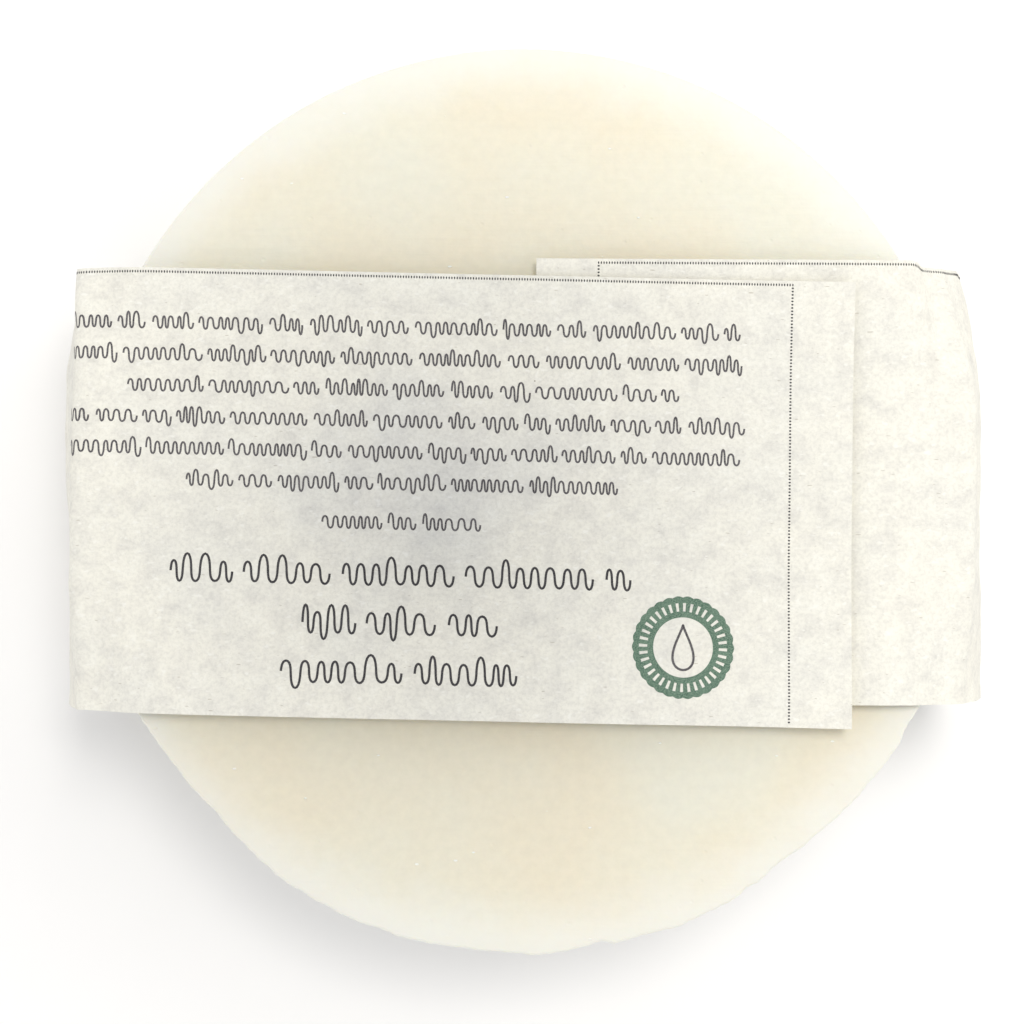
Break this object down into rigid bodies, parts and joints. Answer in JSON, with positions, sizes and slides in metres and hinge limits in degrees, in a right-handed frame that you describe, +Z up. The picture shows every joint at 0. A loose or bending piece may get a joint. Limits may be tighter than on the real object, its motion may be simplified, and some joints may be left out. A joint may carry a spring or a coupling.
{
  "type": "shaving soap puck",
  "caption": "Round puck of shaving soap wrapped in a folded paper belly band whose two ends lap on top and open.",
  "frame": {"origin": "on the surface the object lies on, under the centre of the puck", "axes": "+Z up through the puck's thickness; +X along the paper strip, towards the open end of the outer flap; +Y across the strip"},
  "size_m": [0.082, 0.077, 0.0258],
  "materials": {
    "soap": "satin, slightly translucent",
    "paper": "matte, mottled",
    "tape": "satin",
    "ink": "matte",
    "green_ink": "matte"
  },
  "bodies": {
    "puck": {"soap_puck": "soap"},
    "band": {"band_wrap": "paper"},
    "outer_flap": {"band_outer_flap": "paper"},
    "under_flap": {"band_under_flap": "paper", "lap_adhesive": "tape"}
  },
  "joints": [
    {"name": "band_slide", "type": "slide", "parent": "puck", "child": "band", "axis": [0, 1, 0], "range_m": [0, 0.058]},
    {"name": "outer_flap_fold", "type": "hinge", "parent": "band", "child": "outer_flap", "pos_m": [-0.0384, 0, 0.02578], "axis": [0, -1, 0], "range_deg": [0, 150]},
    {"name": "under_flap_fold", "type": "hinge", "parent": "band", "child": "under_flap", "pos_m": [0.0384, 0, 0.02556], "axis": [0, 1, 0], "range_deg": [0, 135]}
  ],
  "couplings": [
    {"joint": "under_flap_fold", "follows": "outer_flap_fold", "ratio": 0.9}
  ]
}
